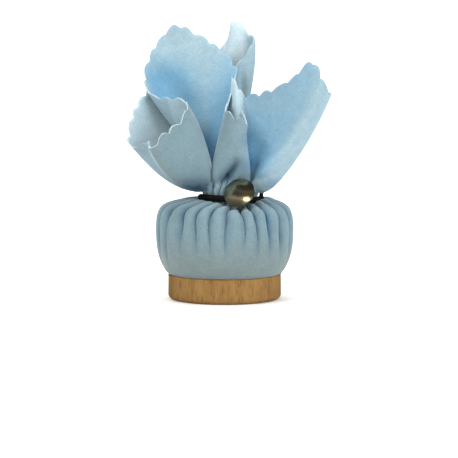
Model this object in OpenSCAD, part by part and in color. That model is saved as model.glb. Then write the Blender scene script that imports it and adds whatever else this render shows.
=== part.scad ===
// Rosin cake glued to a wooden disc and wrapped in a square of soft cloth.
// The cloth is gathered into a neck above the cake, held there by an elastic with a shank button.
// Millimetres, +Z up, origin at the centre of the disc's underside, front towards -Y.

/* [Wooden base] */
// Radius of the disc
base_r = 22.5; // [18:0.5:26]
// Thickness of the disc
base_h = 10; // [6:0.5:14]
// Radius of the rounded lower edge
base_edge_r = 2; // [0.5:0.1:3]
// Bevel on the upper edge
base_bevel = 0.4; // [0.1:0.1:1]

/* [Glue] */
// Thickness of each glue film
glue_t = 0.2; // [0.1:0.05:0.4]
// Radius of each glue film
glue_r = 18; // [10:0.5:19]

/* [Wrapped cake] */
// Thickness of the cloth
cloth_t = 0.7; // [0.5:0.05:0.9]
// Widest radius of the bag
bag_r = 28; // [26:0.5:30]
// Height of the bag's widest place
bag_mid_z = 24; // [22:0.5:26]
// Height of the shoulder where it turns in to the neck
shoulder_z = 37.2; // [36:0.1:37.3]
// Radius of the shoulder where it turns in to the neck
shoulder_r = 15; // [14:0.5:17]
// Clearance between the cake and the cloth round it
cake_gap = 2; // [0.5:0.1:3]

/* [Neck] */
// Radius of the gathered neck
neck_r = 10.1; // [9:0.1:10.2]
// Sideways offset of the neck from the base's axis
neck_x = 2.2; // [0:0.1:3]
// Height of the foot of the neck
neck_foot_z = 37.5; // [37.4:0.1:38]
// Height where the cloth opens into petals
neck_top_z = 42.9; // [42.5:0.1:44]
// Radius of the hole left in the middle of the gathers
gather_hole_r = 2; // [1:0.5:4]

/* [Elastic] */
// Height of the elastic ring's centre
band_z = 40; // [39.8:0.1:40.6]
// Radius of the elastic itself
band_cord_r = 1.2; // [1:0.05:1.25]
// Radius of the ring to the elastic's centre line
band_ring_r = 11.7; // [11.6:0.1:12]
// Tilt of the ring, front up
band_tilt_front = 3; // [0:0.5:4]
// Tilt of the ring, right side down
band_tilt_side = 2.6; // [0:0.2:4]
// Radius of the knot
knot_r = 1.7; // [1.5:0.1:1.8]
// Length of the stub above the knot
knot_stub = 2.6; // [2:0.1:3]

/* [Button] */
// Radius of the button
button_r = 6.15; // [5.5:0.05:6.3]
// Height of the dome above the rim
button_dome = 1.6; // [1:0.1:2]
// Wall of the domed shell
button_wall = 0.45; // [0.3:0.05:0.6]
// Place of the button round the elastic
button_azimuth = -63; // [-68:1:-58]
// Direction that the button faces, seen from above
button_facing = -112; // [-114:1:-100]
// Lean of the button's axis from upright
button_lean = 58; // [54:1:62]
// Distance from the button's rim back to the elastic
button_reach = 6; // [5.8:0.1:6.5]
// Inner radius of the wire eye
eye_r = 2.2; // [2.1:0.05:2.4]
// Radius of the eye's wire
eye_wire_r = 0.4; // [0.3:0.05:0.5]
// Turn of the eye about the button's axis, which lines it up with the elastic
eye_turn = 118; // [112:1:124]

/* [Hidden] */
$fn = 72;

cloth_z = base_h + glue_t;
cake_z = cloth_z + cloth_t + glue_t;
bag_foot_angle = -67;
bag_foot_depth = (bag_mid_z - cloth_z) / sin(-bag_foot_angle);
bag_foot_width = (bag_r - base_r) / (1 - cos(bag_foot_angle));
shoulder_squareness = 0.75;
// Height where the bag starts to lean over to the neck
lean_start_z = 33;
arc_steps = 9;
bag_sides = 60;
petal_sides = 96;
petal_rows = 10;
// The petals stay nearly upright above the neck and then bend outwards
petal_flare = 1.6;
eye_ring_r = eye_r + eye_wire_r;
lip_depth = 1;
// The knot lies outside the ring's centre line, clear of the neck
knot_offset = 0.5;
rim_bead_r = 0.35;
plate_r = button_r - 2 * rim_bead_r - 0.1;

// The rim of the petals: azimuth about the neck, radius and height of each peak and valley
petal_rim = [
  [-90, 15, 70], [-50, 16, 74], [-15, 39, 88], [40, 20, 78], [85, 18, 111], [110, 16, 92],
  [140, 36, 106], [178, 30, 76], [205, 44, 68], [238, 18, 68], [270, 15, 70]
];

function ease(t) = t * t * (3 - 2 * t);

// Points of the bag's foot, from the base's edge up to the widest place, moved in by inset
function foot_arc(inset) = [
  for (i = [0 : arc_steps])
    let (a = bag_foot_angle * (1 - i / arc_steps))
    [bag_r - bag_foot_width + (bag_foot_width - inset) * cos(a),
     bag_mid_z + (bag_foot_depth - inset) * sin(a)]
];

// Points of the bag's shoulder, from above the widest place up to the neck, moved in by inset
function shoulder_arc(inset) = [
  for (i = [1 : arc_steps])
    let (a = 90 * i / arc_steps)
    [shoulder_r + (bag_r - shoulder_r - inset) * pow(cos(a), shoulder_squareness),
     bag_mid_z + (shoulder_z - bag_mid_z - inset) * pow(sin(a), shoulder_squareness)]
];

// The wire eye lies in a dent between the gathers of the neck
dent_depth = 2.8;
dent_half_angle = 55;
function neck_dent(a) =
  let (off = abs(a - button_azimuth) < 180 ? abs(a - button_azimuth) : 360 - abs(a - button_azimuth))
  off < dent_half_angle ? dent_depth * pow(cos(90 * off / dent_half_angle), 2) : 0;

// The bag's centre line moves over from the base's axis to the neck's
function lean_x(z) =
  let (t = (z - lean_start_z) / (neck_foot_z - lean_start_z))
  neck_x * ease(min(max(t, 0), 1));

function reversed(list) = [for (i = [len(list) - 1 : -1 : 0]) list[i]];

// A ring of the bag at a point of its outline; rings on the neck's outside take the dent
function bag_ring(point) = [
  for (i = [0 : bag_sides - 1])
    let (a = 360 * i / bag_sides, r = point[0] - (point[0] == neck_r ? neck_dent(a) : 0))
    [lean_x(point[1]) + r * cos(a), r * sin(a), point[1]]
];

// One point of the petals' outer face: u runs from the neck to the rim, a is the azimuth
function petal_point(u, a) =
  let (
    place = lookup(a, [for (i = [0 : len(petal_rim) - 1]) [petal_rim[i][0], i]]),
    i = min(floor(place), len(petal_rim) - 2),
    end = petal_rim[i] + (petal_rim[i + 1] - petal_rim[i]) * ease(place - i),
    r = neck_r - neck_dent(a) * (1 - u) + (end[1] - neck_r) * pow(u, petal_flare)
  )
  [neck_x + r * cos(a), r * sin(a), neck_top_z + (end[2] - neck_top_z) * u];

// The unit normal of the petals' outer face, level at the neck
function petal_normal(u, a) =
  let (
    step = 0.001,
    v = u < step ? 0 : u - step,
    around = petal_point(u, min(a + step, 270)) - petal_point(u, max(a - step, -90)),
    n = cross(around, petal_point(v + step, a) - petal_point(v, a))
  )
  n / norm(n);

function petal_ring(u, depth) = [
  for (i = [0 : petal_sides - 1])
    let (a = 360 * i / petal_sides - 90)
    petal_point(u, a) - depth * petal_normal(u, a)
];

// Joins rings of equal size into one skin; closed runs the last ring back into the first
module loft(rings, closed) {
  sides = len(rings[0]);
  spans = closed ? len(rings) : len(rings) - 1;
  walls = [
    for (j = [0 : spans - 1], i = [0 : sides - 1])
      let (below = j * sides, above = ((j + 1) % len(rings)) * sides, next = (i + 1) % sides)
      each [[below + i, above + i, above + next], [below + i, above + next, below + next]]
  ];
  ends = closed ? [] : [
    [for (i = [0 : sides - 1]) i],
    [for (i = [sides - 1 : -1 : 0]) (len(rings) - 1) * sides + i]
  ];
  polyhedron([for (ring = rings) each ring], concat(walls, ends), convexity = 8);
}

module glue_film(z) {
  color("khaki")
    translate([0, 0, z])
      cylinder(r = glue_r, h = glue_t);
}

module wooden_base() {
  edge = [
    for (i = [0 : arc_steps])
      let (a = 90 * i / arc_steps)
      [base_r - base_edge_r * (1 - sin(a)), base_edge_r * (1 - cos(a))]
  ];
  top = [[base_r, base_h - base_bevel], [base_r - base_bevel, base_h], [0, base_h]];
  color("burlywood")
    rotate_extrude()
      polygon(concat([[0, 0]], edge, top));
}

module base_glue() {
  glue_film(base_h);
}

module cloth_bag() {
  outside = concat(
    foot_arc(0), shoulder_arc(0), [[neck_r, neck_foot_z], [neck_r, neck_top_z]]
  );
  inside = concat(
    [[glue_r, cloth_z + cloth_t]], foot_arc(cloth_t), shoulder_arc(cloth_t),
    [[gather_hole_r, neck_foot_z - cloth_t], [gather_hole_r, neck_top_z]]
  );
  color("lightsteelblue")
    loft([for (point = concat(outside, reversed(inside))) bag_ring(point)], false);
}

module cloth_petals() {
  outside = [for (j = [0 : petal_rows]) petal_ring(j / petal_rows, 0)];
  inside = [for (j = [petal_rows : -1 : 0]) petal_ring(j / petal_rows, cloth_t)];
  color("lightsteelblue")
    loft(concat(outside, inside), true);
}

module cake_glue() {
  glue_film(cloth_z + cloth_t);
}

module rosin_cake() {
  inset = cloth_t + cake_gap;
  color("darkgoldenrod")
    intersection() {
      rotate_extrude()
        polygon(concat(
          [[0, cloth_z]], foot_arc(inset), shoulder_arc(inset), [[0, shoulder_z - inset]]
        ));
      translate([0, 0, cake_z])
        cylinder(r = bag_r, h = lean_start_z - cake_z);
    }
}

// Places its children on the elastic ring's own plane, centred on the ring
module on_band() {
  translate([neck_x, 0, band_z])
    rotate([-band_tilt_front, band_tilt_side, 0])
      children();
}

module band_ring() {
  rotate_extrude()
    translate([band_ring_r, 0])
      circle(r = band_cord_r, $fn = 32);
}

module elastic_band() {
  color("black")
    on_band()
      band_ring();
}

// The knot sits on the right of the ring, threaded by it, with its cut stub standing up
module band_knot() {
  color("black")
    on_band()
      difference() {
        translate([band_ring_r + knot_offset, 0, 0]) {
          sphere(r = knot_r, $fn = 32);
          rotate([0, 12, 0])
            cylinder(r = 0.9 * band_cord_r, h = knot_r + knot_stub, $fn = 32);
        }
        band_ring();
      }
}

// Puts its children in the button's frame: rim at z = 0, face towards +Z
module on_button() {
  on_band()
    translate([band_ring_r * cos(button_azimuth), band_ring_r * sin(button_azimuth), 0])
      rotate([band_tilt_front, -band_tilt_side, 0])
        rotate([0, button_lean, button_facing])
          translate([0, 0, button_reach])
            children();
}

// A cap of the sphere that has this rim radius and this height
function dome_r(rim, height) = (rim * rim + height * height) / (2 * height);

module dome_profile(rim, height) {
  steps = 12;
  ball = dome_r(rim, height);
  half = asin(rim / ball);
  polygon(concat(
    [[0, 0]],
    [for (i = [0 : steps])
      let (a = half * (1 - i / steps))
      [ball * sin(a), ball * cos(a) - ball + height]]
  ));
}

module button_shell() {
  color("silver")
    on_button()
      rotate_extrude() {
        difference() {
          dome_profile(button_r, button_dome);
          dome_profile(button_r - button_wall, button_dome - button_wall);
        }
        translate([button_r - button_wall, -lip_depth])
          square([button_wall, lip_depth]);
        translate([button_r - button_wall, -lip_depth / 2])
          circle(r = rim_bead_r, $fn = 24);
      }
}

module button_back() {
  color("gray")
    on_button()
      translate([0, 0, -lip_depth])
        cylinder(r = plate_r, h = lip_depth / 2);
}

// A wire loop: two straight legs from the back plate and a half ring round the elastic
module button_shank() {
  color("silver")
    on_button()
      rotate([0, 0, eye_turn]) {
        for (side = [-1, 1])
          translate([0, side * eye_ring_r, -button_reach])
            cylinder(r = eye_wire_r, h = button_reach - lip_depth, $fn = 24);
        difference() {
          translate([0, 0, -button_reach])
            rotate([0, 90, 0])
              rotate_extrude()
                translate([eye_ring_r, 0])
                  circle(r = eye_wire_r, $fn = 24);
          translate([-button_r, -button_r, -button_reach])
            cube(2 * button_r);
        }
      }
}

wooden_base();
base_glue();
cloth_bag();
cloth_petals();
cake_glue();
rosin_cake();
elastic_band();
band_knot();
button_shell();
button_back();
button_shank();
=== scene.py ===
"""Rosin cake on a wooden disc, wrapped in a gathered cloth that an elastic with a button holds."""
import math

import bpy
import numpy as np
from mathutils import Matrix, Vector


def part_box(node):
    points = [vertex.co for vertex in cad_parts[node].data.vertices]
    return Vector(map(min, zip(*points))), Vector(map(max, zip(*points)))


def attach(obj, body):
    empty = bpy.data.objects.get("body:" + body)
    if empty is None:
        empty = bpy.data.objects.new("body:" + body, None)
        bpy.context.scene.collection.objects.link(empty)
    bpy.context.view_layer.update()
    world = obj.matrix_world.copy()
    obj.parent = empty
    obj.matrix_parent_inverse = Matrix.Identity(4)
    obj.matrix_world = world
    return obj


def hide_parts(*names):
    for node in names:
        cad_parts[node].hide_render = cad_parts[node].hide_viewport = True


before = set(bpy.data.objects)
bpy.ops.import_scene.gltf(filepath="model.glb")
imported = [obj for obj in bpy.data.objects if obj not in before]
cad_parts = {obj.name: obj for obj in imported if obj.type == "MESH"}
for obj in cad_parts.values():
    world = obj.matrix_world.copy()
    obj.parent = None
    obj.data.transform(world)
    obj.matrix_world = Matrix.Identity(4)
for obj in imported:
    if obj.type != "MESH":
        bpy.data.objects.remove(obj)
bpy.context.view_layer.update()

MM = 0.001

# ---------------------------------------------------------------- elastic, in millimetres

BAND_LOW, BAND_HIGH = (np.array(corner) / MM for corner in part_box("elastic_band"))
NECK = (BAND_LOW + BAND_HIGH) / 2
BAND_CORD_R = 1.2
BAND_R = 11.7
KNOT_CORD_R = 0.85

# The ring's own axes: it tilts down a little to the back and to the right
BAND_TILTS = np.radians([3.0, 2.6])
BAND_RIGHT = np.array([math.cos(BAND_TILTS[1]), 0.0, -math.sin(BAND_TILTS[1])])
BAND_BACK = np.array([0.0, math.cos(BAND_TILTS[0]), -math.sin(BAND_TILTS[0])])
BAND_NORMAL = np.cross(BAND_RIGHT, BAND_BACK)

# Places round the neck are in degrees from +x, anticlockwise from above
FRONT = -90.0
BUTTON_AZIMUTH = -63.0

# ---------------------------------------------------------------- cloth, in millimetres

CLOTH_T = 0.6

# Distance from one woven rib to the next, and from one wave of the pinked edge to the next
RIB = 0.95
SCALLOP = 7.0
SCALLOP_DEPTH = 1.7

# The neck: how many pleats it has and how deep, its size, and the height where it opens
PLEATS = 25
NECK_PLEAT = 8.4
NECK_R = 10.3
NECK_BULGE = 1.1
PETAL_Z = 43.2

# Points of the mesh round the neck, up the bag, and up the opened cloth
COLUMNS = 820
BAG_ROWS = 56
PETAL_ROWS = 46

# The neck is pushed in behind the button: depth, half width in degrees, degrees past the button
NECK_HOLLOW = (3.3, 29.0, 4.0)

# Where the button and its wire eye press the shoulder down: x, y, depth, square of the half width
SHOULDER_HOLLOWS = [
    (5.0, -15.5, 3.0, 34.0),
    (8.7, -9.8, 1.6, 9.0),
]

# Outline of the bag's ridges from the middle of the underside up to the neck: radius, height,
# and how deep the pleats are there
BAG_OUTLINE = [
    (0.0, 10.25, 0.0), (10.0, 10.25, 0.0), (20.8, 10.25, 0.0), (22.4, 10.9, 0.0),
    (23.9, 13.0, 0.1), (25.4, 16.2, 0.3), (26.5, 20.4, 0.7), (26.9, 25.0, 1.1),
    (26.8, 30.2, 1.9), (26.3, 33.6, 2.5), (25.1, 35.9, 2.8), (22.6, 37.3, 3.0),
    (19.0, 38.4, 3.3), (15.6, 39.3, 3.8), (13.8, 39.1, 4.4), (12.3, 38.3, 4.8),
    (10.6, 38.8, 6.4), (10.2, 40.4, NECK_PLEAT), (NECK_R, PETAL_Z, NECK_PLEAT),
]

# Valleys between the pleats at the front, as degrees from the front, and how far down the bag
# each reaches, from 0 to 1; the rest are evenly spaced
FRONT_VALLEYS = [
    (-72, 0.9), (-58, 1.0), (-39.5, 0.55), (-25, 0.5), (-12, 0.6), (1, 0.7),
    (16.5, 0.5), (28, 0.7), (40.5, 1.0), (54.5, 1.0), (71, 0.9),
]

# The opened cloth, clockwise from the front: degrees round the neck, then three points of the
# line from the neck to the rim (a third of the way, two thirds, rim) and a tone: the nap's blue
# with painted light (pale) and painted shade (blue) in it
PETALS = [
    (-95, (3.0, -11.5, 52.0), (3.2, -14.5, 62.0), (4.2, -17.0, 72.3), 0.28),
    (-118, (-1.0, -11.3, 51.0), (0.3, -13.5, 62.0), (1.8, -15.5, 74.0), 0.28),
    (-138, (-5.0, -9.8, 49.5), (-2.6, -10.8, 60.5), (0.8, -11.8, 75.6), 0.3),
    (-143, (-4.4, -6.0, 50.5), (-1.8, -4.0, 62.5), (2.0, -5.0, 78.8), 0.9),
    (-147, (-4.8, -5.2, 51.0), (-1.2, -0.5, 68.0), (4.1, 2.5, 86.2), 1.0),
    (-150, (-5.2, -5.0, 52.0), (-4.0, 1.5, 72.0), (4.5, 6.0, 91.0), 0.9),
    (-152, (-5.6, -4.8, 52.0), (-8.0, 4.0, 75.0), (-1.1, 11.0, 98.5), 0.65),
    (-154, (-6.0, -4.6, 52.0), (-12.0, 5.5, 76.0), (-9.9, 15.5, 104.2), 0.6),
    (-155.5, (-6.3, -4.6, 51.5), (-16.0, 6.0, 74.0), (-20.6, 18.0, 108.2), 0.55),
    (-157, (-6.7, -4.6, 51.0), (-18.5, 5.0, 70.0), (-27.5, 15.0, 101.2), 0.6),
    (-158.5, (-7.0, -4.4, 50.5), (-18.5, 4.0, 66.0), (-32.0, 11.0, 90.0), 0.7),
    (-160, (-7.3, -4.2, 50.0), (-17.0, 2.0, 63.0), (-31.0, 6.0, 82.2), 0.3),
    (-161, (-7.2, -5.0, 50.0), (-15.5, -2.0, 63.5), (-26.8, 1.0, 80.1), 0.25),
    (-162, (-7.0, -6.0, 50.5), (-12.0, -5.0, 64.5), (-20.5, -2.0, 79.3), 0.25),
    (-163, (-6.6, -7.5, 51.0), (-9.0, -8.5, 65.0), (-16.6, -6.0, 78.6), 0.27),
    (-165, (-5.2, -10.0, 52.0), (-9.4, -12.5, 65.0), (-14.8, -12.0, 77.0), 0.27),
    (-168, (-7.0, -11.5, 50.5), (-13.0, -16.0, 62.5), (-17.4, -18.0, 71.2), 0.28),
    (-172, (-9.3, -11.5, 49.0), (-17.5, -18.5, 59.0), (-21.8, -22.0, 67.5), 0.28),
    (-177, (-12.5, -10.5, 47.0), (-20.0, -18.0, 54.0), (-25.4, -23.5, 64.0), 0.26),
    (-181, (-14.9, -8.2, 45.0), (-21.8, -16.2, 50.8), (-27.9, -23.5, 61.0), 0.1),
    (-184, (-15.3, -4.8, 44.8), (-24.0, -9.5, 51.6), (-29.5, -14.0, 63.5), 0.5),
    (-187, (-16.0, -3.5, 44.5), (-25.5, -8.0, 50.8), (-31.9, -12.0, 62.3), 0.4),
    (-190, (-16.0, -2.0, 44.4), (-25.8, -6.0, 50.4), (-34.0, -10.0, 60.5), 0.4),
    (-193, (-15.5, -0.5, 45.4), (-26.5, -3.5, 52.5), (-37.1, -7.0, 62.6), 0.12),
    (-197, (-13.5, 0.8, 46.5), (-25.0, -1.0, 56.5), (-36.3, -2.0, 73.0), 0.12),
    (-201, (-12.5, 2.0, 47.5), (-23.0, 2.0, 60.0), (-34.0, 4.0, 78.2), 0.1),
    (-206, (-11.0, 3.5, 48.5), (-19.0, 6.5, 63.0), (-30.0, 11.0, 83.0), 0.1),
    (-215, (-8.5, 5.5, 50.0), (-12.0, 13.0, 68.0), (-15.0, 25.0, 94.0), 0.2),
    # Painted light: the inside of this corner is toned pale, as if lit from behind
    (-222, (-6.0, 7.0, 51.0), (-6.0, 15.0, 72.0), (0.0, 25.0, 101.6), 0.0),
    (-228, (-3.5, 8.0, 51.0), (-0.5, 15.0, 74.0), (3.2, 22.0, 111.0), 0.0),
    (-233, (-1.0, 8.5, 51.0), (4.5, 15.0, 74.0), (7.5, 21.0, 107.6), 0.0),
    (-238, (1.5, 9.0, 51.0), (9.3, 13.0, 79.0), (11.4, 18.5, 103.3), 0.6),
    (-243, (3.0, 8.5, 51.0), (8.3, 10.5, 77.0), (9.8, 14.0, 99.2), 0.6),
    (-248, (3.5, 8.0, 51.0), (5.5, 9.5, 75.0), (6.0, 12.5, 94.2), 0.6),
    # Painted light: this fold is toned pale to lighten it
    (-252, (1.0, 0.0, 52.0), (1.5, -4.0, 66.0), (2.8, 4.5, 88.5), 0.15),
    (-256, (3.8, -1.0, 52.0), (4.4, -8.5, 65.0), (5.2, -1.5, 84.5), 0.15),
    (-262, (5.5, 0.0, 51.5), (6.8, -8.0, 64.0), (7.8, -2.0, 80.8), 0.25),
    (-267, (7.5, 3.0, 51.0), (9.0, -1.0, 63.0), (9.5, 2.0, 78.5), 0.25),
    (-273, (8.0, 7.0, 50.5), (10.5, 9.0, 61.0), (12.0, 13.0, 72.0), 0.3),
    (-285, (7.5, 10.5, 49.5), (10.5, 19.0, 62.0), (14.0, 29.0, 76.0), 0.4),
    (-300, (9.5, 11.0, 49.0), (15.0, 24.0, 63.0), (22.0, 38.0, 80.0), 0.4),
    (-315, (11.5, 10.0, 48.5), (19.0, 19.0, 60.0), (28.0, 31.0, 74.0), 0.4),
    (-330, (13.5, 7.0, 47.5), (20.5, 11.0, 56.0), (27.0, 16.0, 66.0), 0.3),
    (-343, (16.0, 3.5, 46.5), (26.0, 5.0, 58.0), (34.0, 4.0, 72.0), 0.2),
    (-354, (20.0, -4.0, 46.5), (31.0, -8.0, 61.5), (41.0, -12.0, 81.6), 0.55),
    (-362, (15.0, -10.0, 49.3), (27.5, -13.5, 64.0), (38.8, -17.0, 85.3), 0.55),
    (-370, (13.5, -9.5, 50.5), (25.0, -11.0, 68.0), (33.9, -19.0, 94.1), 0.8),
    (-378, (12.8, -7.5, 51.5), (20.0, -7.0, 68.0), (26.8, -14.0, 88.3), 0.78),
    (-386, (12.0, -6.5, 52.0), (15.0, -4.5, 67.0), (17.9, -8.0, 83.0), 0.75),
    (-394, (10.5, -6.5, 52.0), (10.5, -4.0, 65.0), (10.1, -4.0, 80.3), 0.8),
    (-402, (9.3, -6.5, 52.0), (7.5, -4.5, 63.0), (6.0, -4.0, 77.5), 0.7),
    (-408, (9.5, -8.0, 51.5), (7.6, -9.0, 61.0), (7.0, -9.0, 74.0), 0.26),
    (-414, (9.0, -11.5, 51.0), (8.3, -13.5, 60.5), (8.3, -15.5, 70.0), 0.28),
    (-430, (6.3, -12.3, 51.5), (6.0, -14.6, 61.5), (6.0, -16.7, 72.0), 0.28),
]

# Hollows in the opened cloth: from x, z to x, z, half width, depth, and the range of y they are in
DENTS = [
    (4.6, 54.5, 1.2, 50.0, 1.9, 3.0, -30, -8),
    (1.2, 50.0, -1.5, 47.2, 1.6, 3.2, -30, -7),
    (-16.5, 46.3, -10.0, 45.4, 1.6, 2.4, -30, -4),
    (-5.5, 52.0, -4.5, 45.0, 0.8, 1.6, -30, -8),
    (-24.0, 86.0, -14.0, 72.0, 6.0, 3.2, 0, 14),
    (8.0, 49.5, 4.0, 43.0, 5.5, 2.5, -30, -6),
    (11.0, 48.0, 23.0, 51.5, 1.1, 0.9, -16, 0),
]

# Painted shade: patches of the opened cloth deep in its folds, darkened in colour: x, z, radius,
# amount, range of y
PAINTED_SHADE_PATCHES = [
    (-9.5, 61.0, 5.0, 0.7, -8, 3),
    (-6.5, 53.0, 4.0, 0.9, -8, 0),
    (-14.0, 45.0, 4.0, 0.8, -30, 3),
    (-8.0, 44.5, 4.0, 0.6, -30, 0),
    (0.6, 49.0, 2.4, 1.0, -30, -5),
    (3.2, 52.3, 2.0, 0.8, -30, -5),
    (10.0, 54.0, 4.5, 0.6, -16, 0),
    (9.5, 64.0, 3.5, 0.5, -16, 0),
    (20.0, 45.2, 3.5, 0.5, -30, 3),
]

# Patches painted bluer, partly where the brushed nap lies flat and partly as painted shade: x, z,
# radius, amount, range of y
NAP_AND_SHADE_PATCHES = [
    (-22.0, 85.0, 9.0, 0.6, 0, 15),
    (-16.0, 73.0, 9.0, 0.4, 0, 12),
    (14.0, 66.0, 9.0, 0.15, -16, -3),
    (13.0, 55.0, 6.0, 0.3, -16, -3),
    (-9.0, 58.0, 6.0, 0.6, -6, 3),
]

# Where things stand in a row of the table that petal_columns makes
DEGREES = 0
THIRD = slice(1, 4)
TWO_THIRDS = slice(4, 7)
RIM = slice(7, 10)
NAP_LIGHT_SHADE = 10


def smooth(x, low, high):
    """0 below low, 1 above high, and a smooth step between."""
    t = np.clip((np.asarray(x, float) - low) / (high - low), 0.0, 1.0)
    return t * t * (3 - 2 * t)


def hermite(knots, values, at):
    """A smooth curve through values at rising knots, evaluated at the given places."""
    knots = np.asarray(knots, float)
    values = np.asarray(values, float)
    gaps = np.diff(knots)[:, None]
    slopes = np.diff(values, axis=0) / gaps
    inner = (slopes[:-1] * gaps[1:] + slopes[1:] * gaps[:-1]) / (gaps[:-1] + gaps[1:])
    tangents = np.vstack([slopes[:1], inner, slopes[-1:]])
    i = np.clip(np.searchsorted(knots, at, side="right") - 1, 0, len(knots) - 2)
    h = gaps[i]
    t = ((at - knots[i]) / gaps[i, 0])[:, None]
    return (
        (2 * t**3 - 3 * t**2 + 1) * values[i]
        + (t**3 - 2 * t**2 + t) * h * tangents[i]
        + (3 * t**2 - 2 * t**3) * values[i + 1]
        + (t**3 - t**2) * h * tangents[i + 1]
    )


def running_length(points):
    """How far along a line of points each of them is."""
    steps = np.linalg.norm(np.diff(points, axis=0), axis=1)
    return np.concatenate([[0], np.cumsum(steps)])


def pleat_phase(degrees):
    """Whole at each valley between pleats, for degrees round the neck."""
    front = [place for place, _ in FRONT_VALLEYS]
    behind = PLEATS - len(front) + 1
    last, first = front[-1], front[0] + 360
    back = [last + (first - last) * k / behind for k in range(1, behind)]
    valleys = front + back + [first]
    turned = (degrees - FRONT - front[0]) % 360 + front[0]
    return np.interp(turned, valleys, np.arange(len(valleys)))


def valley(phase, depth):
    """1 in the narrow valley between two pleats, 0 on the round ridge; shallow ones are wide."""
    return (1 - np.abs(np.sin(np.pi * phase))) ** (1.1 + 0.12 * depth)


def reach(phase):
    """How far each valley runs, from 0 to 1: as listed at the front, and no two alike behind."""
    number = np.round(phase).astype(int) % PLEATS
    shares = np.mod(np.sin(np.arange(PLEATS) * 12.9898 + 2.0) * 43758.5453, 1.0)
    shares[:len(FRONT_VALLEYS)] = [share for _, share in FRONT_VALLEYS]
    return shares[number]


def petal_columns():
    """Samples the lines of PETALS evenly: degrees, three points each, and the tone with painted
    light and shade.
    """
    degrees = np.array([line[0] for line in PETALS], float)
    points = np.array([line[1:4] for line in PETALS], float).reshape(len(PETALS), 9)
    nap_light_shade_column = np.array([line[4] for line in PETALS], float)
    table = np.column_stack([degrees, points, nap_light_shade_column])
    wrap = 3
    before, after = table[-wrap:].copy(), table[:wrap].copy()
    before[:, DEGREES] += 360
    after[:, DEGREES] -= 360
    table = np.vstack([before, table, after])
    gaps = np.sqrt(np.linalg.norm(np.diff(table[:, RIM], axis=0), axis=1) + 0.5)
    knots = np.concatenate([[0], np.cumsum(gaps)])
    places = np.linspace(knots[wrap], knots[wrap + len(PETALS)], 12001)
    fine = hermite(knots, table, places)
    for column in (DEGREES, NAP_LIGHT_SHADE):
        fine[:, column] = np.interp(places, knots, table[:, column])
    rim_step = np.linalg.norm(np.diff(fine[:, RIM], axis=0), axis=1)
    turn_step = np.abs(np.diff(fine[:, DEGREES]))
    spread = np.concatenate([[0], np.cumsum(rim_step + 1.1 * turn_step)])
    even = np.linspace(0, spread[-1], COLUMNS + 1)[:-1]
    return np.column_stack([np.interp(even, spread, column) for column in fine.T])


def neck_hollow(degrees):
    """How far the neck is pushed in behind the button."""
    depth, width, past = NECK_HOLLOW
    from_button = (degrees - BUTTON_AZIMUTH - past + 180) % 360 - 180
    return depth * np.exp(-((from_button / width) ** 2))


def neck_bulge(degrees):
    """How far the cloth swells out over the elastic, to the left and right."""
    return NECK_BULGE * np.cos(np.radians(degrees)) ** 2


def shoulder_press(x, y, z):
    """How far the button and its eye press the shoulder of the bag down."""
    press = np.zeros(len(x))
    for at_x, at_y, depth, spread in SHOULDER_HOLLOWS:
        press += depth * np.exp(-((x - at_x) ** 2 + (y - at_y) ** 2) / spread)
    return press * smooth(z, 30, 36)


def bag_rows(degrees):
    """Rows of the bag from the middle of its underside to the neck, one point per column."""
    outline = np.array(BAG_OUTLINE)
    steps = running_length(outline[:, :2])
    places = np.linspace(0, steps[-1], BAG_ROWS)
    line = hermite(steps, outline, places)
    heading = hermite(steps, outline, places + 0.05) - line
    heading /= np.linalg.norm(heading[:, :2], axis=1)[:, None]
    phase = pleat_phase(degrees)
    angle = np.radians(degrees)
    rows = []
    for (r, z, depth), (dr, dz, _) in zip(line, heading):
        # The neck is hollow behind the button and swells out just over the elastic
        r = r - neck_hollow(degrees) * (1 - smooth(r, 10.8, 13.5)) * smooth(z, 30.0, 34.0)
        r = r + neck_bulge(degrees) * smooth(z - 41.7 + 0.5 * np.cos(angle), 0.0, 1.4)
        # Pleats die away downwards, each at its own height, and sway a little on the way
        keep = 0.3 + 0.7 * smooth(smooth(z, 12.0, 36.0) + 0.7 * reach(phase), 0.4, 1.1)
        upright = smooth(z, 12.0, 26.0) * (1 - smooth(z, 34.0, 39.0))
        sway = 0.10 * np.sin(angle * 7 + z / 4) * upright
        cut = depth * keep * valley(phase + sway, depth)
        # The neck stands off the middle of the base, and the shoulder is higher at the sides
        lean = NECK[0] * smooth(z, 30.0, 34.0) * (1 - smooth(r, 13.0, 24.0))
        lift = (0.9 * np.cos(angle) ** 2 - 0.3) * smooth(z, 33.0, 38.0) * smooth(r, 11.5, 15.0)
        x = lean + (r - cut * dz) * np.cos(angle)
        y = (r - cut * dz) * np.sin(angle)
        rows.append(np.column_stack([x, y, z + cut * dr + lift - shoulder_press(x, y, z)]))
    return np.array(rows)


def curve_weights(t):
    """How much four evenly spaced points of a curve count at t, from 0 to 1 along it."""
    return (
        -4.5 * (t - 1 / 3) * (t - 2 / 3) * (t - 1),
        13.5 * t * (t - 2 / 3) * (t - 1),
        -13.5 * t * (t - 1 / 3) * (t - 1),
        4.5 * t * (t - 1 / 3) * (t - 2 / 3),
    )


def pinking(rim):
    """The waves of the pinked rim, 0 in the notches and about 1 on the rounds."""
    along = running_length(np.vstack([rim, rim[:1]]))
    turn = 2 * np.pi * along[:-1] / along[-1]
    waves = round(along[-1] / SCALLOP)
    wave = np.abs(np.sin(waves * turn / 2 + 0.3 * np.sin(31 * turn))) ** 0.8
    return wave * (1 + 0.2 * np.sin(17 * turn + 1.0))


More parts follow.
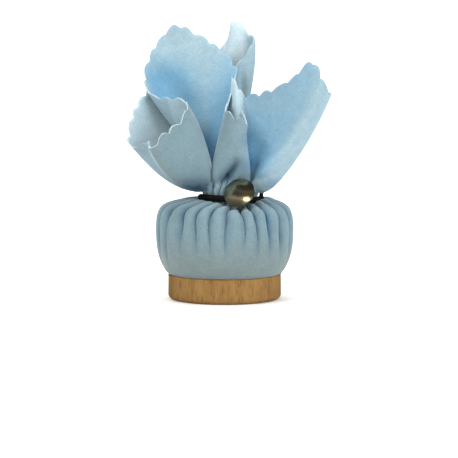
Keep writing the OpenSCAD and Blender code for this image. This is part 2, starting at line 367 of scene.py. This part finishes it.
def petal_rows(columns):
    """Rows of the opened cloth from the neck to the pinked rim."""
    degrees = columns[:, DEGREES]
    angle = np.radians(degrees)
    foot_r = NECK_R - neck_hollow(degrees) + neck_bulge(degrees)
    foot = np.column_stack([
        NECK[0] + foot_r * np.cos(angle),
        foot_r * np.sin(angle),
        np.full(len(angle), PETAL_Z),
    ])
    third, two_thirds, rim = columns[:, THIRD], columns[:, TWO_THIRDS], columns[:, RIM]
    wave = pinking(rim)
    out = rim - two_thirds
    out /= np.linalg.norm(out, axis=1)[:, None]
    rows = [foot]
    for t in np.arange(1, PETAL_ROWS + 1) / PETAL_ROWS:
        a, b, c, d = curve_weights(t)
        row = a * foot + b * third + c * two_thirds + d * rim
        trim = SCALLOP_DEPTH * (wave - 0.6) * smooth(t, 0.8, 1.0)
        rows.append(row + out * trim[:, None])
    return pleated(np.array(rows), degrees)[1:]


def pleated(rows, degrees):
    """Carries the pleats of the neck on up into the opened cloth, where they die away."""
    phase = pleat_phase(degrees)
    cut = NECK_PLEAT * valley(phase, NECK_PLEAT)
    angle = np.radians(degrees)
    inward = -np.column_stack([np.cos(angle), np.sin(angle), np.zeros(len(angle))])
    share = np.arange(len(rows))[:, None] / PETAL_ROWS
    ends = 0.12 + 0.34 * (1 - reach(phase))
    fade = 1 - smooth(share / ends, 0.0, 1.0)
    return rows + inward * (cut * fade)[:, :, None]


def within(y, nearest, farthest):
    """1 where y lies in the range, falling to 0 over a millimetre outside it."""
    return smooth(y, nearest - 1, nearest) * (1 - smooth(y, farthest, farthest + 1))


def dented(grid):
    """Presses the hollows of DENTS backwards into the cloth."""
    for x1, z1, x2, z2, width, depth, nearest, farthest in DENTS:
        along = np.array([x2 - x1, z2 - z1])
        offset = grid[:, :, [0, 2]] - np.array([x1, z1])
        t = np.clip(offset @ along / (along @ along), 0, 1)
        away = np.linalg.norm(offset - t[:, :, None] * along, axis=2) / width
        grid[:, :, 1] += depth * np.exp(-(away**2)) * within(grid[:, :, 1], nearest, farthest)
    return grid


def relax(grid, times):
    """Evens out small kinks of the opened cloth round each row, leaving the rim as cut."""
    weight = np.ones(len(grid))
    weight[-4:] = 0.0
    for _ in range(times):
        around = (np.roll(grid, 1, axis=1) + np.roll(grid, -1, axis=1)) / 2
        grid = grid + (around - grid) * 0.5 * weight[:, None, None]
    return grid


def patch_tone(part, patches):
    """The sum of soft round patches at each point of the opened cloth."""
    tone = np.zeros(part.shape[:2])
    for x, z, radius, amount, nearest, farthest in patches:
        away = np.hypot(part[:, :, 0] - x, part[:, :, 2] - z) / radius
        tone += amount * np.exp(-(away**2)) * within(part[:, :, 1], nearest, farthest)
    return tone


def painted_crease_shade(grid, columns):
    """Painted shade: 1 at the bottom of the pleats and in the folds where the petals meet, where
    the colour is darkened.
    """
    phase = pleat_phase(columns[:, DEGREES])
    height = grid[:BAG_ROWS, :, 2]
    side = 0.8 * reach(phase) * smooth(height, 16.0, 28.0)
    shoulder = 0.6 * smooth(height, 30.0, 37.0)
    bag = valley(phase, 1.0) * (side + shoulder)
    petals = patch_tone(grid[BAG_ROWS:], PAINTED_SHADE_PATCHES)
    return np.clip(np.vstack([bag, petals]), 0, 1)


def nap_light_shade_tone(grid, columns):
    """The cloth's tone at each point, from 0, dull or pale, to 1, the bluest: partly the brushed
    pile's own colour, partly painted light and shade.
    """
    # Painted shade: the bag is duller and greyer towards its foot
    bag = 0.3 * smooth(grid[:BAG_ROWS, :, 2], 14.0, 32.0)
    fade = smooth(np.arange(PETAL_ROWS), 0, 12)[:, None]
    petals = 0.5 + (columns[:, NAP_LIGHT_SHADE] - 0.5) * fade + patch_tone(grid[BAG_ROWS:], NAP_AND_SHADE_PATCHES)
    return np.clip(np.vstack([bag, petals]), 0, 1)


# ---------------------------------------------------------------- meshes


def add_object(name, verts, faces):
    """A smooth-shaded object made of these points and faces."""
    mesh = bpy.data.meshes.new(name)
    mesh.from_pydata(verts, [], faces)
    mesh.polygons.foreach_set("use_smooth", [True] * len(mesh.polygons))
    mesh.update()
    obj = bpy.data.objects.new(name, mesh)
    bpy.context.scene.collection.objects.link(obj)
    return obj


def grid_faces(index, closed):
    """Faces between rows of point numbers that run right round; closed joins the end rows too."""
    rows = np.vstack([index, index[:1]]) if closed else index
    beside = np.roll(rows, -1, axis=1)
    return np.stack([rows[:-1], rows[1:], beside[1:], beside[:-1]], axis=-1).reshape(-1, 4).tolist()


def paint(mesh, name, values):
    """Stores one number per point of the mesh for the materials to read."""
    attribute = mesh.attributes.new(name, "FLOAT", "POINT")
    attribute.data.foreach_set("value", values.ravel())


# ---------------------------------------------------------------- materials

WHITE = (1.0, 1.0, 1.0)

# Base colours of the cloth where its tone is 0, 0.3, 0.6 and 1. The tone carries painted light and
# shade besides the nap's colour: the pale inside at 0 is painted light, the dull outside at 0 and
# the blue at 1 are partly painted shade
NAP_LIGHT_SHADE_STOPS = (0.0, 0.3, 0.6, 1.0)
OUTER_TONES = (
    (0.185, 0.235, 0.236), (0.185, 0.270, 0.305), (0.310, 0.430, 0.490), (0.170, 0.350, 0.500),
)
INNER_TONES = (
    (0.580, 0.710, 0.780), (0.330, 0.470, 0.535), (0.320, 0.450, 0.520), (0.180, 0.370, 0.530),
)
# The pinked cut edge is painted much lighter than the cloth: a painted highlight along the rim
EDGE_HIGHLIGHT_TONES = (
    (0.50, 0.57, 0.58), (0.42, 0.51, 0.54), (0.47, 0.57, 0.61), (0.40, 0.54, 0.62),
)


def new_material(name):
    """A material, its Principled shader, and helpers that add and link its nodes."""
    material = bpy.data.materials.new(name)
    material.use_nodes = True
    tree = material.node_tree
    shader = tree.nodes["Principled BSDF"]

    def add(kind, **settings):
        node = tree.nodes.new(kind)
        for key, value in settings.items():
            if key in node.inputs:
                node.inputs[key].default_value = value
            else:
                setattr(node, key, value)
        return node

    def link(a, out, b, into):
        tree.links.new(a.outputs[out], b.inputs[into])

    return material, shader, add, link


def set_inputs(node, values):
    """Sets sockets of a node, given by their names."""
    for socket, value in values.items():
        node.inputs[socket].default_value = value


def set_stops(node, stops):
    """Gives a colour ramp node its stops, each a place and a colour."""
    elements = node.color_ramp.elements
    while len(elements) < len(stops):
        elements.new(0.5)
    for element, (place, colour) in zip(elements, stops):
        element.position = place
        element.color = (*colour, 1.0)


def ramp(add, link, source, out, stops):
    """A colour ramp driven by an output of another node."""
    node = add("ShaderNodeValToRGB")
    set_stops(node, stops)
    link(source, out, node, "Fac")
    return node


def noise(add, link, scale, detail, roughness=0.5):
    """Noise in the object's own space."""
    place = add("ShaderNodeTexCoord")
    node = add("ShaderNodeTexNoise", Scale=scale, Detail=detail, Roughness=roughness)
    link(place, "Object", node, "Vector")
    return node


def multiplied(add, link, first, *others):
    """A Mix node whose output 2 is the product of all the nodes' colours."""
    for other in others:
        mix = add("ShaderNodeMix", data_type="RGBA", blend_type="MULTIPLY")
        mix.inputs[0].default_value = 1.0
        link(first, 2 if first.type == "MIX" else 0, mix, 6)
        link(other, 0, mix, 7)
        first = mix
    return first


def bump(add, link, height, strength, distance, after=None):
    """A bump from a noise node's height, on top of another bump where there is one."""
    node = add("ShaderNodeBump", Strength=strength, Distance=distance)
    link(height, "Fac", node, "Height")
    if after is not None:
        link(after, "Normal", node, "Normal")
    return node


def ribs(add, link, darkening):
    """Woven ribs that cross the cloth on its way from the middle to the rim."""
    run = add("ShaderNodeAttribute", attribute_name="run")
    turn = add("ShaderNodeMath", operation="MULTIPLY")
    turn.inputs[1].default_value = 2 * math.pi / RIB
    wave = add("ShaderNodeMath", operation="SINE")
    link(run, "Fac", turn, 0)
    link(turn, 0, wave, 0)
    furrow = (1 - darkening, 1 - darkening, 1 - darkening)
    return ramp(add, link, wave, 0, [(0.0, furrow), (1.0, WHITE)])


def cloth_material(name, tones, rib_darkening=0.0):
    """Brushed microfibre: mottled pile and fine fibres. The colour follows a tone that is partly
    the pile's own colour, bluer where it lies flat, and partly painted light and shade; painted
    shade darkens the folds.
    """
    material, shader, add, link = new_material(name)
    nap_light_shade_node = add("ShaderNodeAttribute", attribute_name="nap_light_shade")
    crease_shade = add("ShaderNodeAttribute", attribute_name="crease_shade")
    mottle = noise(add, link, 240.0, 5.0, 0.65)
    fibre = noise(add, link, 1300.0, 4.0, 0.75)
    # The tone picks the base colour: the nap's own colour together with painted light and shade
    nap_light_shade_colour = ramp(add, link, nap_light_shade_node, "Fac", list(zip(NAP_LIGHT_SHADE_STOPS, tones)))
    clouds = ramp(add, link, mottle, "Fac", [(0.30, (0.84, 0.87, 0.90)), (0.70, WHITE)])
    specks = ramp(add, link, fibre, "Fac", [(0.30, (0.76, 0.80, 0.83)), (0.70, WHITE)])
    # Painted shade: the colour turns darker and bluer in the pleats and folds
    crease_darkening = ramp(add, link, crease_shade, "Fac", [(0.0, WHITE), (1.0, (0.22, 0.45, 0.68))])
    colour = multiplied(add, link, nap_light_shade_colour, clouds, specks, crease_darkening)
    if rib_darkening:
        colour = multiplied(add, link, colour, ribs(add, link, rib_darkening))
    link(colour, 2, shader, "Base Color")
    fine = bump(add, link, fibre, 0.5, 0.00012)
    soft = bump(add, link, mottle, 0.3, 0.0006, fine)
    link(soft, "Normal", shader, "Normal")
    set_inputs(shader, {
        "Roughness": 0.95,
        "Specular IOR Level": 0.1,
        "Sheen Weight": 0.3,
        "Sheen Roughness": 0.45,
        "Sheen Tint": (0.9, 0.95, 1.0, 1.0),
    })
    return material


def wood_material():
    """Oiled beech: straight fine grain with short brown flecks."""
    material, shader, add, link = new_material("beech")
    figure = noise(add, link, 420.0, 6.0, 0.65)
    fleck = noise(add, link, 2100.0, 2.0)
    place = add("ShaderNodeTexCoord")
    stretch = add("ShaderNodeMapping")
    set_inputs(stretch, {"Scale": (1.0, 1.0, 0.12)})
    link(place, "Object", stretch, "Vector")
    for grain in (figure, fleck):
        link(stretch, "Vector", grain, "Vector")
    tone = ramp(add, link, figure, "Fac", [
        (0.30, (0.185, 0.098, 0.026)),
        (0.52, (0.255, 0.139, 0.040)),
        (0.72, (0.315, 0.182, 0.060)),
    ])
    marks = ramp(add, link, fleck, "Fac", [(0.58, WHITE), (0.68, (0.55, 0.42, 0.30))])
    link(multiplied(add, link, tone, marks), 2, shader, "Base Color")
    link(bump(add, link, fleck, 0.2, 0.00015), "Normal", shader, "Normal")
    set_inputs(shader, {"Roughness": 0.5, "Specular IOR Level": 0.35})
    return material


def metal_material(name, light, dark, rough):
    """Plated metal with faint wear: colour and roughness change a little over the surface."""
    material, shader, add, link = new_material(name)
    cloud = noise(add, link, 260.0, 4.0, 0.6)
    tone = ramp(add, link, cloud, "Fac", [(0.3, dark), (0.7, light)])
    link(tone, "Color", shader, "Base Color")
    wear = add("ShaderNodeMapRange")
    set_inputs(wear, {"To Min": rough, "To Max": rough + 0.14})
    link(cloud, "Fac", wear, "Value")
    link(wear, "Result", shader, "Roughness")
    set_inputs(shader, {"Metallic": 1.0})
    return material


def glassy_material(name, light, dark, rough, passing):
    """Cast rosin or dried glue: see-through, cloudy inside."""
    material, shader, add, link = new_material(name)
    cloud = noise(add, link, 90.0, 4.0)
    tone = ramp(add, link, cloud, "Fac", [(0.3, dark), (0.7, light)])
    link(tone, "Color", shader, "Base Color")
    link(bump(add, link, cloud, 0.2, 0.0004), "Normal", shader, "Normal")
    set_inputs(shader, {"Roughness": rough, "Transmission Weight": passing, "IOR": 1.53})
    return material


def elastic_material():
    """Black braid: dull yarn with fine fibres."""
    material, shader, add, link = new_material("elastic")
    yarn = noise(add, link, 3200.0, 2.0)
    black, worn = (0.001, 0.001, 0.001), (0.010, 0.010, 0.011)
    tone = ramp(add, link, yarn, "Fac", [(0.3, black), (0.75, worn)])
    link(tone, "Color", shader, "Base Color")
    link(bump(add, link, yarn, 0.5, 0.0001), "Normal", shader, "Normal")
    set_inputs(shader, {"Roughness": 0.8, "Specular IOR Level": 0.25})
    return material


def floor_material():
    """Matt white paper, not quite even."""
    material, shader, add, link = new_material("floor")
    cloud = noise(add, link, 3.0, 2.0)
    dark, light = (0.93, 0.93, 0.93), (0.96, 0.96, 0.96)
    tone = ramp(add, link, cloud, "Fac", [(0.3, dark), (0.7, light)])
    link(tone, "Color", shader, "Base Color")
    set_inputs(shader, {"Roughness": 0.9, "Specular IOR Level": 0.1})
    return material


def dress(node, material):
    """Gives a CAD node this material in all its slots."""
    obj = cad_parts[node]
    if not obj.material_slots:
        obj.data.materials.append(material)
    for place in obj.material_slots:
        place.material = material


# ---------------------------------------------------------------- pieces


def make_cloth():
    """The whole square of cloth as one sheet: bag, neck and opened corners."""
    columns = petal_columns()
    petals = dented(relax(petal_rows(columns), 2))
    grid = np.concatenate([bag_rows(columns[:, DEGREES]), petals])
    index = np.arange(grid[:, :, 0].size).reshape(grid.shape[:2])
    faces = grid_faces(index, closed=False) + [index[0].tolist()]
    cloth = add_object("cloth_sheet", (grid.reshape(-1, 3) * MM).tolist(), faces)
    run = np.linalg.norm(np.diff(grid, axis=0, prepend=grid[:1]), axis=2).cumsum(axis=0)
    # The tone of nap colour with painted light and shade
    paint(cloth.data, "nap_light_shade", nap_light_shade_tone(grid, columns))
    paint(cloth.data, "run", run)
    # Painted shade for the pleats and folds
    paint(cloth.data, "crease_shade", painted_crease_shade(grid, columns))
    cloth.data.materials.append(cloth_material("cloth_outer", OUTER_TONES))
    cloth.data.materials.append(cloth_material("cloth_inner", INNER_TONES, rib_darkening=0.14))
    # The cut edge's lighter colour is a painted highlight
    cloth.data.materials.append(cloth_material("cloth_cut_edge_highlight", EDGE_HIGHLIGHT_TONES))
    solid = cloth.modifiers.new("thickness", "SOLIDIFY")
    solid.thickness = CLOTH_T * MM
    solid.offset = 1.0
    solid.use_even_offset = False
    solid.material_offset = 1
    solid.material_offset_rim = 2
    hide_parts("cloth_bag", "cloth_petals")
    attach(cloth, "wrapped_cake")


def braided_tube(name, path, radius, turns, closed):
    """A round braid along a path in millimetres: turns is how often its strands wind round it."""
    sides = 20
    count = len(path)
    ahead = np.roll(path, -1, axis=0) - np.roll(path, 1, axis=0)
    if not closed:
        ahead[0] = path[1] - path[0]
        ahead[-1] = path[-1] - path[-2]
    ahead /= np.linalg.norm(ahead, axis=1)[:, None]
    # A little off the ring's normal, because the knot's stub runs along the normal itself
    side = np.cross(ahead, BAND_NORMAL + 0.001)
    side /= np.linalg.norm(side, axis=1)[:, None]
    up = np.cross(side, ahead)
    u = 2 * np.pi * np.arange(count)[:, None] / count
    v = 2 * np.pi * np.arange(sides)[None, :] / sides
    strands = np.maximum(np.sin(turns * u + 3 * v), np.sin(turns * u - 3 * v))
    thick = radius * (0.93 + 0.07 * strands)
    if not closed:
        from_end = np.minimum(np.arange(count), np.arange(count)[::-1])
        thick = thick * (0.25 + 0.75 * smooth(from_end, -1, 5))[:, None]
    around = np.cos(v)[:, :, None] * side[:, None, :] + np.sin(v)[:, :, None] * up[:, None, :]
    grid = path[:, None, :] + thick[:, :, None] * around
    index = np.arange(count * sides).reshape(count, sides)
    faces = [face[::-1] for face in grid_faces(index, closed)]
    if not closed:
        faces += [index[0][::-1].tolist(), index[-1].tolist()]
    return add_object(name, (grid.reshape(-1, 3) * MM).tolist(), faces)


def on_band(x, y, z):
    """A point in the tilted elastic ring's own axes, moved into the frame."""
    return NECK + x * BAND_RIGHT + y * BAND_BACK + z * BAND_NORMAL


def knot_point(t):
    """The knot's line at t, from 0 to 1: almost two small turns on the ring, then a stub."""
    turn = 2 * math.pi * 1.75 * t
    rise = 3.6 * max(0.0, t - 0.82) / 0.18
    loop = 0.75 * (1 - 0.9 * smooth(t, 0.78, 0.9))
    x = BAND_R + 0.5 + loop * math.cos(turn) + 0.1 * rise
    y = 1.2 * (t - 0.5) * (1 - smooth(t, 0.75, 1.0))
    z = loop * math.sin(turn) + rise
    return on_band(x, y, z)


def make_elastic():
    """The braided elastic ring and the knot that closes it."""
    angles = np.linspace(0, 2 * np.pi, 360, endpoint=False)
    ring_path = [on_band(BAND_R * math.cos(a), BAND_R * math.sin(a), 0.0) for a in angles]
    ring = braided_tube("elastic_ring", np.array(ring_path), BAND_CORD_R, 44, True)
    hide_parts("elastic_band")
    knot_path = [knot_point(t) for t in np.linspace(0, 1, 90)]
    knot = braided_tube("elastic_knot", np.array(knot_path), KNOT_CORD_R, 16, False)
    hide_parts("band_knot")
    braid = elastic_material()
    for piece in (ring, knot):
        piece.data.materials.append(braid)
        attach(piece, "band")


def dress_cad_nodes():
    """Gives the pieces that the CAD model shapes well enough their finished materials."""
    steel = metal_material("steel", (0.55, 0.55, 0.54), (0.45, 0.45, 0.44), 0.3)
    glue = glassy_material("glue", (0.80, 0.74, 0.55), (0.70, 0.63, 0.42), 0.3, 0.5)
    rosin = glassy_material("rosin", (0.60, 0.28, 0.04), (0.40, 0.15, 0.02), 0.12, 0.6)
    nickel = metal_material("nickel", (0.44, 0.395, 0.26), (0.34, 0.31, 0.20), 0.13)
    dress("wooden_base", wood_material())
    dress("base_glue", glue)
    dress("cake_glue", glue)
    dress("rosin_cake", rosin)
    dress("button_shell", nickel)
    dress("button_back", steel)
    dress("button_shank", steel)


# ---------------------------------------------------------------- camera and studio, in metres

LENS = 143.6
EYE = Vector((0.00175, -0.725, 0.095))
AIM = Vector((0.00175, 0.0, 0.0277))

# The floor runs this far to the front, to each side and to the back, where it bends upwards
FLOOR_FRONT = -4.0
FLOOR_SIDE = 4.0
FLOOR_BACK = 2.5
FLOOR_RISE = 3.0
FLOOR_BEND = 0.8

# Name, place, aimed at, size, power, colour, and whether shiny surfaces mirror the light
MIDDLE = (0.0, 0.0, 0.055)
WALL = (0.0, FLOOR_BACK, 0.6)
LIGHTS = [
    ("key", (-0.75, -0.65, 0.85), MIDDLE, (0.6, 0.6), 11.5, (1.0, 0.99, 0.97), False),
    ("fill", (0.9, -0.6, 0.5), MIDDLE, (0.9, 0.9), 12.2, (0.97, 0.99, 1.0), False),
    ("top", (0.0, 0.25, 1.1), MIDDLE, (0.8, 0.8), 12.0, WHITE, False),
    ("backdrop", (0.0, 1.2, 1.6), WALL, (2.5, 0.5), 45.0, WHITE, False),
    ("glint", (-0.07, -0.88, 0.47), MIDDLE, (0.32, 0.14), 1.8, (1.0, 0.84, 0.56), True),
]

# Brightness of the surroundings from straight below, 0, to straight above, 1
SKY = [
    (0.0, 0.10), (0.36, 0.25), (0.48, 0.75), (0.56, 0.12), (0.72, 0.05), (0.79, 0.24), (0.87, 0.05),
]


def add_to_scene(name, data, place, aim):
    """Puts a camera or light in the scene, looking at a point."""
    obj = bpy.data.objects.new(name, data)
    bpy.context.scene.collection.objects.link(obj)
    obj.location = place
    obj.rotation_euler = (Vector(aim) - Vector(place)).to_track_quat("-Z", "Y").to_euler()
    return obj


def make_camera():
    """A long lens a little above the object, looking slightly down at its front."""
    data = bpy.data.cameras.new("camera")
    data.sensor_width = 36.0
    data.lens = LENS
    data.clip_start = 0.01
    bpy.context.scene.camera = add_to_scene("camera", data, EYE, AIM)


def make_floor():
    """A pale floor that runs up into a backdrop. Metal doesn't mirror it."""
    arc = np.radians(range(0, 91, 6))
    outline = [(FLOOR_FRONT, 0.0)]
    for a in arc:
        y = FLOOR_BACK - FLOOR_BEND + FLOOR_BEND * math.sin(a)
        outline.append((y, FLOOR_BEND - FLOOR_BEND * math.cos(a)))
    outline.append((FLOOR_BACK, FLOOR_RISE))
    verts = [(side, y, z) for y, z in outline for side in (-FLOOR_SIDE, FLOOR_SIDE)]
    faces = [(2 * k, 2 * k + 1, 2 * k + 3, 2 * k + 2) for k in range(len(outline) - 1)]
    floor = add_object("floor", verts, faces)
    floor.data.materials.append(floor_material())
    floor.visible_glossy = False


def make_lights():
    """Soft light from all round, and a small warm one that the button mirrors."""
    for name, place, aim, size, power, colour, mirrored in LIGHTS:
        data = bpy.data.lights.new(name, "AREA")
        data.shape = "RECTANGLE"
        data.size, data.size_y = size
        data.energy = power
        data.color = colour
        add_to_scene(name, data, place, aim).visible_glossy = mirrored


def make_sky():
    """Surroundings in bands of grey, which the button mirrors too."""
    world = bpy.data.worlds.new("studio")
    world.use_nodes = True
    tree = world.node_tree
    place = tree.nodes.new("ShaderNodeTexCoord")
    split = tree.nodes.new("ShaderNodeSeparateXYZ")
    bands = tree.nodes.new("ShaderNodeValToRGB")
    set_stops(bands, [(height, (level, level, level)) for height, level in SKY])
    tree.links.new(place.outputs["Generated"], split.inputs[0])
    tree.links.new(split.outputs["Z"], bands.inputs["Fac"])
    tree.links.new(bands.outputs["Color"], tree.nodes["Background"].inputs["Color"])
    bpy.context.scene.world = world
    bpy.context.scene.view_settings.view_transform = "Standard"


make_camera()
make_floor()
make_lights()
make_sky()
make_cloth()
make_elastic()
dress_cad_nodes()
